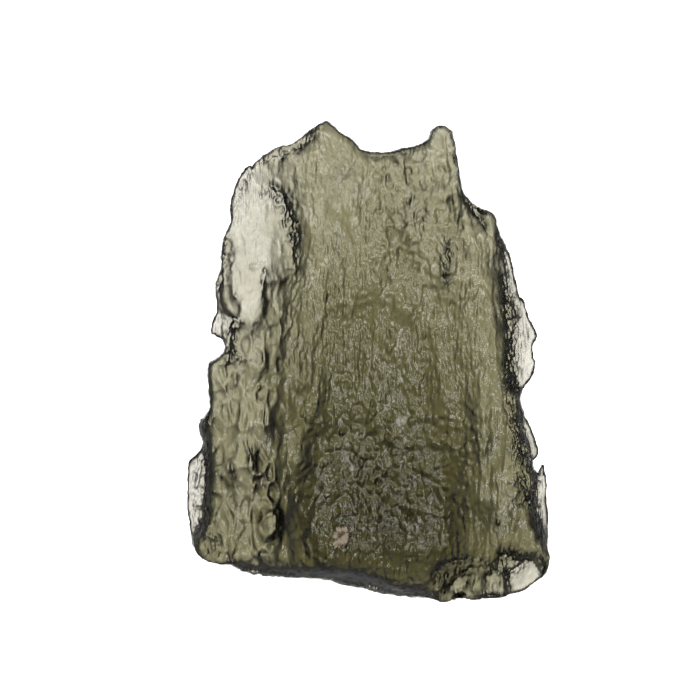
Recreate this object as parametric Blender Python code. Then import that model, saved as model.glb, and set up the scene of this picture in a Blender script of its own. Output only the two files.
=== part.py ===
"""A moldavite: one plate of natural green glass, lying on its underside.

It is thin at its far end and along its left side and thick in its near middle. Its edge is
chipped into bites, shoulders and thin flanges, and its skin is etched into pits and ridges.

Places and lengths are in millimetres, with X to the right, Y away from the near edge and
Z up from the surface that the stone lies on. The mesh is made in metres.
"""

import math
import random
from collections import namedtuple

import bmesh
import bpy
from mathutils import Vector, geometry, noise

MM = 0.001

# Glass thickness of the plate: (at its far end, where it is thickest)
MIDDLE_THICKNESS = (2.8, 7.2)
LEFT_THICKNESS = (2.3, 4.2)
RIGHT_THICKNESS = (2.6, 4.6)
THICKENING = 1.2
FLANGE_THICKNESS = 0.55
WINDOW_THICKNESS = 0.95
WALL_HEIGHT = 10.0
FAR_END, THICKEST_AT = 19.0, -15.0
LEFT_SLOPE = (-11.5, -3.0)
RIGHT_SLOPE = (5.5, 13.0)
NEAR_SLOPE = (-22.0, -15.5)
NEAR_EDGE_SHARE = 0.62
CROWN_MIDDLE, CROWN_REACH, CROWN_FALL = 0.8, 9.0, 0.5

# The underside: a shallow keel, worn flat where the stone rests
REST_CENTRE = (0.6, -5.4)
KEEL_REACH = (17.0, 28.0)
KEEL_RISE = 2.1
WORN_DEPTH = 0.3
UNWORN_HEIGHT = 0.35

# The rounded edge
EDGE_ROUND_LEAST, EDGE_ROUND_MOST = 0.45, 1.1
EDGE_HEIGHT_SHARE = 0.42
EDGE_THINNEST = 0.12
GLASS_THINNEST = 0.35

# Mesh fineness
OUTLINE_STEP = 0.5
RING_OFFSETS = (0.2, 0.62)
FIELD_PITCH = 0.92
FIRST_ROW = 1.05
CREASE_STEP, CREASE_GAP, FIELD_GAP = 0.65, 0.4, 0.6
WINDOW_RIMS = (0.84, 1.06)
HOLLOW_RIMS = (0.62, 1.0)
DEEP_HOLLOW = 0.65
MERGE_DISTANCE = 0.0001
SEED = 41

# The plan outline, clockwise, one list for each side.
# The far side runs from the left peak through the wide bite to the horn.
FAR_SIDE = [
    (-3.7, 22.0), (-2.5, 21.0), (-1.4, 20.3), (-0.6, 19.5), (0.4, 19.2), (1.8, 19.2), (3.3, 19.5),
    (4.5, 19.8), (5.4, 20.3), (5.7, 21.1), (6.4, 21.6), (7.2, 21.4), (7.7, 21.1),
]
# The right side has the square shoulder, the bulging flange, a round bite, the spur and its hook.
RIGHT_SIDE = [
    (8.0, 19.6), (8.3, 17.6), (8.7, 15.6), (9.5, 14.7), (10.5, 14.0), (11.5, 13.6), (11.9, 12.2),
    (12.6, 10.7), (13.1, 9.5), (13.5, 7.6), (13.9, 5.9), (14.3, 5.7), (14.7, 4.2), (15.4, 2.9),
    (15.5, 2.3), (15.0, 1.1), (15.3, 0.0), (15.0, -1.5), (14.2, -2.5), (14.0, -3.3), (14.4, -4.8),
    (15.1, -6.3), (15.7, -8.5), (15.2, -9.0), (15.2, -9.8), (15.6, -10.2), (15.9, -9.2),
    (16.2, -9.9), (16.4, -11.3), (16.3, -12.5), (16.5, -13.9), (16.4, -16.6), (16.5, -18.0),
    (16.2, -19.3), (15.1, -20.3), (14.1, -21.0),
]
# The near side slants up to the left in small steps.
NEAR_SIDE = [
    (12.9, -21.3), (12.3, -21.5), (10.2, -21.7), (7.9, -21.7), (7.2, -22.0), (5.6, -21.7),
    (3.4, -21.6), (1.1, -21.3), (-1.4, -20.7), (-2.6, -20.5), (-3.4, -20.1), (-5.7, -19.9),
    (-8.2, -19.8), (-11.6, -19.2), (-12.5, -18.5), (-13.4, -18.5),
]
# The left side has two flange lobes, the deep round notch with its bead, and the far shoulder.
LEFT_SIDE = [
    (-15.1, -17.9), (-16.0, -16.6), (-16.3, -14.8), (-16.5, -13.3), (-16.5, -10.3), (-16.3, -9.1),
    (-15.3, -8.0), (-15.1, -7.4), (-15.5, -6.4), (-15.4, -5.3), (-14.6, -4.5), (-14.5, -3.1),
    (-14.7, -1.3), (-14.5, 0.0), (-13.6, 0.5), (-13.1, 1.3), (-13.5, 2.1), (-14.3, 2.5),
    (-14.3, 3.6), (-13.8, 4.7), (-14.0, 6.8), (-13.5, 8.5), (-13.3, 10.9), (-12.6, 12.8),
    (-12.5, 14.7), (-11.7, 16.9), (-10.8, 18.0), (-10.6, 17.8), (-10.3, 18.3), (-9.1, 19.1),
    (-8.0, 19.7), (-7.1, 19.9), (-6.2, 20.5), (-5.2, 21.3), (-4.4, 21.8),
]

# A wall is a steep face inside the edge, with a thin flange at its foot. It is given by the
# place of its foot at stations along the edge, and by how far in it takes to rise.
Wall = namedtuple("Wall", "along side stations run")
WALLS = [
    Wall("Y", 1, [(12.0, 12.2), (8.0, 13.0), (4.0, 13.9), (-2.0, 13.9), (-6.0, 14.3), (-10.0, 15.2),
                  (-14.0, 15.8), (-17.0, 16.6)], 1.5),
    Wall("Y", -1, [(-4.6, -15.4), (-6.5, -15.0), (-9.0, -15.0), (-12.0, -15.0), (-14.5, -15.3),
                   (-17.0, -16.3)], 0.9),
    Wall("Y", -1, [(8.0, -14.4), (4.8, -13.2), (3.6, -12.9), (2.2, -12.9), (0.8, -13.9)], 0.9),
    Wall("X", -1, [(-12.5, -18.9), (-8.0, -19.6), (-3.0, -20.1), (2.0, -21.1), (6.0, -21.8)], 1.6),
]

# A hollow lies in the upper face: its centre, half width, half length, clockwise turn in
# degrees and depth. Depths past the glass stop at the window's thickness.
Hollow = namedtuple("Hollow", "x y half_width half_length turn depth")
WINDOWS = [
    Hollow(-10.3, 12.9, 2.9, 5.4, -10.0, 2.4),
    Hollow(-9.2, 10.2, 2.3, 2.9, 0.0, 2.2),
    Hollow(-11.0, 6.6, 1.5, 4.2, -6.0, 1.3),
    Hollow(14.2, -19.4, 1.5, 2.0, 40.0, 4.0),
]
HOLLOWS = [
    Hollow(-10.0, 0.5, 0.75, 2.3, -3.0, 0.75),
    Hollow(-12.7, -1.2, 0.9, 1.3, 0.0, 0.55),
    Hollow(-12.9, 7.2, 0.6, 1.4, 0.0, 0.5),
    Hollow(-12.0, 5.0, 0.5, 0.9, 0.0, 0.45),
    Hollow(-11.3, -5.4, 0.85, 1.3, 15.0, 0.55),
    Hollow(-11.9, -7.7, 0.8, 1.4, -10.0, 0.5),
    Hollow(-12.6, -9.7, 0.8, 1.3, -12.0, 1.1),
    Hollow(-10.5, -9.1, 0.55, 1.3, 0.0, 0.9),
    Hollow(-9.4, -5.0, 0.4, 0.9, 8.0, 0.7),
    Hollow(-8.8, -14.7, 0.95, 2.4, -2.0, 1.5),
    Hollow(-10.2, -11.2, 0.5, 0.8, 0.0, 0.6),
    Hollow(-13.3, -15.9, 0.7, 1.3, -5.0, 0.6),
    Hollow(-4.4, -5.1, 1.6, 0.9, 0.0, 0.35),
    Hollow(7.1, 9.3, 0.7, 2.1, 15.0, 0.7),
    Hollow(12.6, -17.9, 1.2, 0.9, 0.0, 1.6),
    Hollow(6.6, -19.0, 0.6, 1.0, 35.0, 1.4),
    Hollow(8.2, -20.0, 1.1, 2.0, 52.0, 2.2),
    Hollow(11.2, -19.6, 1.2, 1.1, 0.0, 1.5),
    Hollow(10.0, 13.2, 0.6, 1.3, -38.0, 1.1),
    Hollow(-6.0, 20.0, 0.45, 1.3, 55.0, 0.9),
]

# A ridge is a raised line in the upper face, and a groove has a height under zero.
Ridge = namedtuple("Ridge", "points half_width height")
RIDGES = [
    Ridge([(6.8, 19.5), (7.3, 16.5), (8.0, 13.0), (8.4, 11.0)], 0.35, 0.35),
    Ridge([(8.1, 18.0), (8.3, 15.0), (9.2, 12.5), (10.2, 9.5)], 0.3, 0.3),
    Ridge([(8.4, 11.2), (8.7, 8.0), (8.6, 5.6), (8.7, 4.4)], 0.3, -0.45),
    Ridge([(11.2, 9.0), (11.4, 5.6), (11.9, 3.8), (12.1, 1.5)], 0.3, -0.5),
    Ridge([(10.9, 6.0), (11.6, 3.0), (11.8, -1.5), (11.6, -5.0), (11.2, -9.0)], 0.6, 0.45),
    Ridge([(10.4, -4.0), (10.6, -8.0), (11.0, -13.0)], 0.35, -0.4),
    Ridge([(-1.7, 17.0), (-1.5, 13.5), (-0.6, 11.0), (0.2, 7.5)], 0.45, -0.35),
    Ridge([(-4.6, -0.8), (-4.9, -3.2), (-5.8, -5.8), (-6.3, -9.0)], 0.5, -0.4),
    Ridge([(-7.1, 3.0), (-7.6, -2.0), (-8.0, -7.0)], 0.5, 0.3),
    Ridge([(5.2, -18.6), (7.4, -19.9), (9.4, -18.0)], 0.4, 0.4),
]

SCATTERED_TOP_HOLLOWS = 150
SCATTERED_UNDER_HOLLOWS = 170
GLASS_COLOUR = (0.13, 0.14, 0.045, 1.0)
GLASS_ROUGHNESS = 0.16
GLASS_REFRACTION = 1.49


def smooth(low, high, value):
    """0 below low, 1 above high, and an even rise between them."""
    share = min(1.0, max(0.0, (value - low) / (high - low)))
    return share * share * (3 - 2 * share)


def between(first, second, share):
    return first + (second - first) * share


def grain(x, y, wide, long, layer):
    """Smooth noise of about -1 to 1, whose lumps are wide by long."""
    return noise.fractal(Vector((x / wide, y / long, layer)), 0.6, 2.1, 3)


def spline(knots, step):
    """A closed smooth curve through the knots, as points about one step apart."""
    points = []
    count = len(knots)
    for i in range(count):
        a, b, c, d = (Vector(knots[(i + k) % count]) for k in (-1, 0, 1, 2))
        pieces = max(1, round((c - b).length / step))
        lean_b = (c - a) / 2 * min(1.0, (c - b).length / max((b - a).length, 0.01))
        lean_c = (d - b) / 2 * min(1.0, (c - b).length / max((d - c).length, 0.01))
        for piece in range(pieces):
            t = piece / pieces
            start = b * (2 * t**3 - 3 * t**2 + 1) + lean_b * (t**3 - 2 * t**2 + t)
            end = c * (3 * t**2 - 2 * t**3) + lean_c * (t**3 - t**2)
            points.append(start + end)
    return points


def edge_distance(point, outline):
    """How far a plan point is from the nearest stretch of the outline."""
    nearest = math.inf
    for start, end in zip(outline, outline[1:] + outline[:1]):
        run = end - start
        share = min(1.0, max(0.0, (point - start).dot(run) / run.length_squared))
        nearest = min(nearest, (start + run * share - point).length)
    return nearest


def inside(point, outline):
    """True if a plan point is within the outline."""
    crossings = 0
    for start, end in zip(outline, outline[1:] + outline[:1]):
        if (start.y > point.y) != (end.y > point.y):
            cross_x = start.x + (point.y - start.y) * (end.x - start.x) / (end.y - start.y)
            crossings += point.x < cross_x
    return crossings % 2 == 1


def at_station(stations, place):
    """The value at a place between stations, each a (place, value), or None past the ends."""
    ordered = sorted(stations)
    if not ordered[0][0] <= place <= ordered[-1][0]:
        return None
    for (low, first), (high, second) in zip(ordered, ordered[1:]):
        if place <= high:
            return between(first, second, (place - low) / (high - low))
    return ordered[-1][1]


def wall_limit(x, y):
    """The most glass that the walls leave at a place."""
    limit = math.inf
    for wall in WALLS:
        place, across = (y, x) if wall.along == "Y" else (x, y)
        foot = at_station(wall.stations, place)
        if foot is None:
            continue
        rise = smooth(0.0, wall.run, (foot - across) * wall.side)
        limit = min(limit, FLANGE_THICKNESS + rise * WALL_HEIGHT)
    return limit


def plate_thickness(x, y):
    """The glass thickness before any hollow or ridge."""
    nearness = min(1.0, max(0.0, (FAR_END - y) / (FAR_END - THICKEST_AT)))
    middle = between(*MIDDLE_THICKNESS, nearness**THICKENING)
    wander = 0.6 * grain(x, y, 5.0, 5.0, 1.0)
    left = between(between(*LEFT_THICKNESS, nearness), middle, smooth(*LEFT_SLOPE, x + wander))
    both = between(left, between(*RIGHT_THICKNESS, nearness), smooth(*RIGHT_SLOPE, x + wander))
    crown = CROWN_FALL * ((x - CROWN_MIDDLE) / CROWN_REACH) ** 2
    return (both - min(crown, CROWN_FALL)) * between(NEAR_EDGE_SHARE, 1.0, smooth(*NEAR_SLOPE, y))


def hollow_radius(hollow, x, y):
    """How far out of a hollow a place is, as a share: 0 at its centre and 1 on its rim."""
    turn = math.radians(hollow.turn)
    dx, dy = x - hollow.x, y - hollow.y
    across = dx * math.cos(turn) - dy * math.sin(turn)
    along = dx * math.sin(turn) + dy * math.cos(turn)
    return math.hypot(across / hollow.half_width, along / hollow.half_length)


def hollow_depth(hollows, x, y):
    """The depth of the deepest of these hollows at a place: flat floors and steep rims."""
    deepest = 0.0
    for hollow in hollows:
        reach = max(hollow.half_width, hollow.half_length)
        if abs(x - hollow.x) < reach and abs(y - hollow.y) < reach:
            radius = hollow_radius(hollow, x, y)
            deepest = max(deepest, hollow.depth * (1 - min(1.0, radius) ** 3))
    return deepest


def window_cut(x, y):
    """How much of a window's depth is cut at a place. Its rim is steep and its floor is flat."""
    cut = 0.0
    for window in WINDOWS:
        cut = max(cut, window.depth * (1 - smooth(*WINDOW_RIMS, hollow_radius(window, x, y))))
    return cut


def ridge_height(x, y):
    """The height that the ridges add at a place, or the grooves take."""
    total = 0.0
    place = Vector((x, y))
    for ridge in RIDGES:
        nearest = math.inf
        for start, end in zip(ridge.points, ridge.points[1:]):
            start, run = Vector(start), Vector(end) - Vector(start)
            share = min(1.0, max(0.0, (place - start).dot(run) / run.length_squared))
            nearest = min(nearest, (start + run * share - place).length)
        total += ridge.height * math.exp(-((nearest / ridge.half_width) ** 2))
    return total


def scattered_hollows(count, seed, small, large):
    """Small hollows at random places, mostly longer than wide, and closer set on the left."""
    draw = random.Random(seed)
    hollows = []
    for _ in range(count):
        half_width = draw.uniform(small, large)
        x = draw.uniform(-16.0, 16.0) if draw.random() < 0.6 else draw.uniform(-15.0, -8.0)
        half_length = half_width * draw.uniform(1.0, 1.9)
        turn = draw.uniform(-14.0, 14.0)
        depth = half_width * draw.uniform(0.18, 0.42)
        hollows.append(Hollow(x, draw.uniform(-21.0, 20.0), half_width, half_length, turn, depth))
    return hollows


TOP_SCATTER = scattered_hollows(SCATTERED_TOP_HOLLOWS, SEED, 0.5, 1.15)
UNDER_SCATTER = scattered_hollows(SCATTERED_UNDER_HOLLOWS, SEED + 1, 0.7, 1.6)


def keel_height(x, y):
    """The height of the underside before its lumps and hollows, under zero where it is worn."""
    dx = (x - REST_CENTRE[0]) / KEEL_REACH[0]
    dy = (y - REST_CENTRE[1]) / KEEL_REACH[1]
    return KEEL_RISE * (dx * dx + dy * dy) - WORN_DEPTH


def under_height(x, y):
    """The height of the underside: a lumpy keel with hollows, worn flat where it rests."""
    keel = keel_height(x, y)
    relief = 0.16 * grain(x, y, 2.6, 4.6, 3.0) + hollow_depth(UNDER_SCATTER, x, y)
    return max(0.0, keel + relief * smooth(0.0, UNWORN_HEIGHT, keel))


def upper_height(x, y):
    """The height of the upper face."""
    full = min(plate_thickness(x, y), wall_limit(x, y))
    relief = 0.20 * grain(x, y, 1.9, 4.2, 7.0) + ridge_height(x, y)
    relief -= max(hollow_depth(HOLLOWS, x, y), hollow_depth(TOP_SCATTER, x, y))
    body = smooth(FLANGE_THICKNESS, 2.0, full)
    cut = window_cut(x, y)
    least = min(full, WINDOW_THICKNESS) if cut > 0 else FLANGE_THICKNESS
    return max(0.0, keel_height(x, y)) + max(full - cut + relief * body, least)


def heights(x, y, distance):
    """(underside, upper face) at a place, with both brought together round the edge."""
    under, upper = under_height(x, y), upper_height(x, y)
    upper = max(upper, under + GLASS_THINNEST)
    roundness = between(EDGE_ROUND_LEAST, EDGE_ROUND_MOST, smooth(-0.5, 0.5, grain(x, y, 3.0, 3.0, 13.0)))
    roundness = min(roundness, 0.2 + 0.35 * (upper - under))
    fullness = math.sqrt(1 - (1 - min(1.0, distance / roundness)) ** 2)
    fullness = max(fullness, EDGE_THINNEST / (upper - under))
    middle = between(under, upper, EDGE_HEIGHT_SHARE)
    return between(middle, under, fullness), between(middle, upper, fullness)


def ring_points(outline, offset):
    """Points this far in from the outline, left out where they would crowd."""
    points = []
    count = len(outline)
    for i in range(count):
        run = outline[(i + 1) % count] - outline[i - 1]
        inward = Vector((-run.y, run.x)).normalized()
        point = outline[i] + inward * offset
        crowded = any((point - other).length < 0.6 * OUTLINE_STEP for other in points)
        if not crowded and inside(point, outline) and edge_distance(point, outline) > 0.9 * offset:
            points.append(point)
    return points


def wall_creases():
    """Points along the foot and the crest of each wall."""
    points = []
    for wall in WALLS:
        ordered = sorted(wall.stations)
        first, last = ordered[0][0], ordered[-1][0]
        steps = round((last - first) / CREASE_STEP)
        for step in range(steps + 1):
            place = between(first, last, step / steps)
            foot = at_station(wall.stations, place)
            for across in (foot, foot - wall.side * wall.run):
                points.append(Vector((across, place) if wall.along == "Y" else (place, across)))
    return points


def hollow_creases(hollow, rims):
    """Points round a hollow, on rims given as shares of its size."""
    points = []
    turn = math.radians(hollow.turn)
    for rim in rims:
        girth = math.pi * rim * (hollow.half_width + hollow.half_length)
        count = max(7, round(girth / CREASE_STEP))
        for step in range(count):
            angle = math.tau * step / count
            across = rim * hollow.half_width * math.cos(angle)
            along = rim * hollow.half_length * math.sin(angle)
            x = hollow.x + across * math.cos(turn) + along * math.sin(turn)
            y = hollow.y - across * math.sin(turn) + along * math.cos(turn)
            points.append(Vector((x, y)))
    return points


def crease_points(outline):
    """Points where the upper face bends sharply, so that the mesh's edges follow the ledges."""
    wanted = wall_creases()
    for window in WINDOWS:
        others = [other for other in WINDOWS if other is not window]
        for point in hollow_creases(window, WINDOW_RIMS):
            if all(hollow_radius(other, point.x, point.y) > WINDOW_RIMS[0] for other in others):
                wanted.append(point)
    for hollow in HOLLOWS:
        if hollow.depth >= DEEP_HOLLOW:
            wanted.append(Vector((hollow.x, hollow.y)))
            wanted += hollow_creases(hollow, HOLLOW_RIMS)
    points = []
    for point in wanted:
        free = all((point - other).length > CREASE_GAP for other in points)
        if free and inside(point, outline) and edge_distance(point, outline) > FIRST_ROW:
            points.append(point)
    return points


def field_points(outline, creases):
    """Points of a jittered triangular grid inside the outline's rows and clear of the creases."""
    draw = random.Random(SEED + 2)
    points = []
    row_pitch = FIELD_PITCH * math.sqrt(3) / 2
    reach_x = max(abs(p.x) for p in outline)
    reach_y = max(abs(p.y) for p in outline)
    for row in range(math.ceil(2 * reach_y / row_pitch) + 1):
        for column in range(math.ceil(2 * reach_x / FIELD_PITCH) + 2):
            shift = FIELD_PITCH * (column - 1 + 0.5 * (row % 2))
            x = -reach_x + shift + draw.uniform(-0.1, 0.1)
            y = -reach_y + row * row_pitch + draw.uniform(-0.1, 0.1)
            point = Vector((x, y))
            if not inside(point, outline) or edge_distance(point, outline) < FIRST_ROW:
                continue
            if all((point - other).length > FIELD_GAP for other in creases):
                points.append(point)
    return points


def middle_of(plan, corners):
    return sum((plan[i] for i in corners), Vector((0.0, 0.0))) / len(corners)


def plate_mesh():
    """The plate as a closed mesh: two sheets over one triangulated plan, joined by a thin edge."""
    outline = spline(FAR_SIDE + RIGHT_SIDE + NEAR_SIDE + LEFT_SIDE, OUTLINE_STEP)
    outline.reverse()
    plan = list(outline)
    for offset in RING_OFFSETS:
        plan += ring_points(outline, offset)
    creases = crease_points(outline)
    plan += creases + field_points(outline, creases)
    edge_loop = [list(range(len(outline)))]
    triangulated = geometry.delaunay_2d_cdt(plan, [], edge_loop, 1, MERGE_DISTANCE, False)
    plan, triangles = triangulated[0], triangulated[2]
    triangles = [corners for corners in triangles if inside(middle_of(plan, corners), outline)]

    mesh = bmesh.new()
    upper, under = [], []
    for point in plan:
        low, high = heights(point.x, point.y, edge_distance(point, outline))
        upper.append(mesh.verts.new((point.x * MM, point.y * MM, high * MM)))
        under.append(mesh.verts.new((point.x * MM, point.y * MM, low * MM)))
    for triangle in triangles:
        mesh.faces.new([upper[i] for i in triangle])
        mesh.faces.new([under[i] for i in reversed(triangle)])
    rims = [edge for edge in mesh.edges if edge.is_boundary]
    bmesh.ops.bridge_loops(mesh, edges=rims)
    bmesh.ops.triangulate(mesh, faces=mesh.faces)
    bmesh.ops.recalc_face_normals(mesh, faces=mesh.faces)
    return mesh


def glass_material():
    material = bpy.data.materials.new("moldavite_glass")
    material.use_nodes = True
    shader = material.node_tree.nodes["Principled BSDF"]
    shader.inputs["Base Color"].default_value = GLASS_COLOUR
    shader.inputs["Metallic"].default_value = 0.0
    shader.inputs["Roughness"].default_value = GLASS_ROUGHNESS
    shader.inputs["IOR"].default_value = GLASS_REFRACTION
    shader.inputs["Transmission Weight"].default_value = 1.0
    return material


def centre_in_plan(mesh):
    """Moves the mesh so that the middle of its box is over the origin."""
    for axis in (0, 1):
        places = [vertex.co[axis] for vertex in mesh.verts]
        middle = (min(places) + max(places)) / 2
        for vertex in mesh.verts:
            vertex.co[axis] -= middle


def make_moldavite():
    """The stone, with its origin under the middle of its box."""
    shape = plate_mesh()
    centre_in_plan(shape)
    data = bpy.data.meshes.new("moldavite")
    shape.to_mesh(data)
    shape.free()
    data.materials.append(glass_material())
    stone = bpy.data.objects.new("moldavite", data)
    bpy.context.scene.collection.objects.link(stone)
    return stone


for leftover in list(bpy.data.objects):
    bpy.data.objects.remove(leftover)
make_moldavite()
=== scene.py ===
"""The looks of the moldavite: a thin plate of olive glass on a bright, plain surface.

Places and lengths are in millimetres unless a name says otherwise, in the frame of the solid:
X to the right, Y away from the near edge, Z up. The scene itself is in metres.
"""

import math
from collections import namedtuple

import bmesh
import bpy
import numpy as np
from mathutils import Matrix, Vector, kdtree, noise
from mathutils.bvhtree import BVHTree


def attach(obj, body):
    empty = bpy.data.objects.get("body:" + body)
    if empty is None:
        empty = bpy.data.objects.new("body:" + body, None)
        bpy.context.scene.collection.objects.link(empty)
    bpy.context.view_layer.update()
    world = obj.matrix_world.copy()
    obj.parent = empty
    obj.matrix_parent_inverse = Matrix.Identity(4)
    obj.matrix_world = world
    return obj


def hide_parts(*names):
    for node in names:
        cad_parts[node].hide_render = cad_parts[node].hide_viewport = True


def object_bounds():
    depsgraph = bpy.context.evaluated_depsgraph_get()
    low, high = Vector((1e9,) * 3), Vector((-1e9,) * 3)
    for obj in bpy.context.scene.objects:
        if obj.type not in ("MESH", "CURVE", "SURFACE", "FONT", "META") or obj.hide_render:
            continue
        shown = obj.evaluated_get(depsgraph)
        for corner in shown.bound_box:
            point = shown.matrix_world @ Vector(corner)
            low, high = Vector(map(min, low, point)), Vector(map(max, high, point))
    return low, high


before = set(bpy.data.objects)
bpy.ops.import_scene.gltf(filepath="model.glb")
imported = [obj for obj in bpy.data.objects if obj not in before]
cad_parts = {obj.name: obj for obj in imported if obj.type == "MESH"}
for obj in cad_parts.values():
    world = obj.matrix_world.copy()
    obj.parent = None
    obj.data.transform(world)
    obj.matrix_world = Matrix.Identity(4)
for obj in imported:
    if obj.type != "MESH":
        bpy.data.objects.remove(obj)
cad_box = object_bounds()

MM = 0.001

# The picture: 700 pixels across, at so many pixels to a millimetre
PICTURE_PIXELS = 700
PIXELS_PER_MM = 11.0
MIDDLE_PIXEL = (368.0, 362.0)
VIEW_HEIGHT_MM = 3.0
SENSOR_MM = 36.0
LENS_MM = 100.0

# The fine mesh: cells are narrower across the flow lines than along them, and each face of
# the underside takes a block of cells
CELL_ACROSS_MM = 0.09
CELL_ALONG_MM = 0.155
BLOCK = (3, 2)
RIM_STEP_MM = 0.03
THINNEST_MM = 0.08
PROBE_START_MM = 50.0

# A box in the plan, and how wide its soft sides are
Box = namedtuple("Box", "left right near far soft")
WINDOW = Box(-11.5, -4.5, 6.5, 18.5, 1.2)
HORN = Box(5.5, 11.0, 16.0, 23.0, 0.8)
RIGHT_PATCH = Box(5.4, 8.7, 6.8, 11.9, 0.6)
OVAL_HOLLOW = Box(-10.3, -6.9, -18.4, -12.0, 0.7)
LEFT_STRIP = Box(-13.8, -7.6, -18.0, 7.5, 0.6)
BRIGHT_RIDGE = Box(10.2, 12.4, -16.0, 8.0, 0.5)
THICK_MIDDLE = Box(-4.5, 7.5, -20.5, -6.0, 3.5)

# Where the glass is smooth, and how much of it is evened out
SMOOTH_GLASS = [(WINDOW, 1.0), (HORN, 1.0), (RIGHT_PATCH, 1.0), (OVAL_HOLLOW, 0.7)]
# Rounds of smoothing that even out the solid's facets: over the whole upper face and the whole
# underside, on the smooth glass and down the left strip
UPPER_SMOOTHING, UNDER_SMOOTHING = 32, 160
GLASS_SMOOTHING, LEFT_SMOOTHING = 700, 70

# Relief: the share of the glass that it may cut away, and how far it may stand out
DEEPEST_SHARE = 0.55
HIGHEST_RELIEF_MM = 0.8
# The width of the sloping edge, and how much that varies
CHAMFER_MM, CHAMFER_VARIATION_MM = 0.20, 0.13
# The mean depth of the hollows under the thick middle, which make its glass look patchy
UNDER_HOLLOW_MM = 0.18

# A paving of etched cells: how wide and long a cell is, the seed of the pattern and how loosely
# the cells are placed. A cell's height is a factor times its tilt, a lift, and a factor times
# its value. All of that fades out over a width at the border, where a groove may run.
Paving = namedtuple("Paving", "wide long seed looseness tilt lift value fade groove")
SCALES = Paving(0.80, 0.74, 21, 0.75, 0.15, 0.0, -0.10, 0.5, 0.07)
PITS = Paving(0.72, 0.80, 31, 0.85, 0.17, 0.0, -0.07, 0.35, 0.0)
SLOTS = Paving(0.36, 0.95, 41, 0.9, 0.10, 0.0, -0.10, 0.5, 0.0)
COBBLES = Paving(1.15, 1.9, 51, 0.9, 0.16, 0.05, 0.12, 0.5, 0.0)
GROOVE_WIDTH = 0.45
# The pits whose value is over LEANING all lean one way, so that they mirror one softbox
LEANING = 0.68
PIT_LEAN = (0.30, -0.37)

# Large odd numbers that scramble a whole-number place into a value
SCRAMBLE = (374761393, 668265263, 974634777, 1274126177)

# Glass
ABSORPTION_COLOUR = (0.62, 0.608, 0.44, 1.0)
ABSORPTION_DENSITY = 1000.0
SURFACE_TINT = (0.55, 0.545, 0.53, 1.0)
REFRACTION = 1.49
ROUGHNESS = 0.20
# The silky grain of its skin, and the patches in which that grain is weaker or stronger
BUMP_MM = 0.045
BUMPS_PER_MM = (8.0, 3.8, 5.5)
PATCHES_PER_MM = 0.9
PATCH_RANGE, PATCH_STRENGTHS = (0.35, 0.65), (0.15, 1.0)

# The floor, which is as rough as the soil
FLOOR_COLOUR = (0.42, 0.42, 0.42, 1.0)
FLOOR_SPECULAR = 0.1
FLOOR_GAP_MM = 0.3
DULL_ROUGHNESS = 0.9

# Light: a glowing panel under the stone, softboxes over it and dimmer ones round it, each with
# its name, size, radiance and place
PANEL_SIZE_MM = 150.0
PANEL_DEPTH_MM = 0.15
PANEL_RADIANCE = 2.0
PANEL_COLOUR = (1.0, 0.975, 0.93)
PANEL_SPREAD_DEGREES = 50.0
WORLD_COLOUR = (0.95, 0.97, 1.0, 1.0)
WORLD_STRENGTH = 0.12
SOFTBOXES = [
    ("key_softbox", (110.0, 110.0), 9.0, (-80.0, 90.0, 370.0)),
    ("fill_softbox", (90.0, 90.0), 8.0, (120.0, -25.0, 370.0)),
    ("near_softbox", (90.0, 90.0), 8.0, (-20.0, -190.0, 330.0)),
    ("left_wall", (400.0, 120.0), 0.4, (-300.0, 0.0, 70.0)),
    ("right_wall", (400.0, 120.0), 0.4, (300.0, 0.0, 70.0)),
    ("far_wall", (400.0, 120.0), 0.4, (0.0, 300.0, 70.0)),
    ("near_wall", (400.0, 120.0), 0.4, (0.0, -300.0, 70.0)),
]

# A lens is a low dome on the upper face, or a dish if its height is under zero: its centre,
# half width, half length, clockwise turn in degrees, height and the share of it that slopes.
Lens = namedtuple("Lens", "x y half_width half_length turn height rim")
# A stroke is a raised line, or a groove if its height is under zero.
Stroke = namedtuple("Stroke", "points half_width height")

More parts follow.
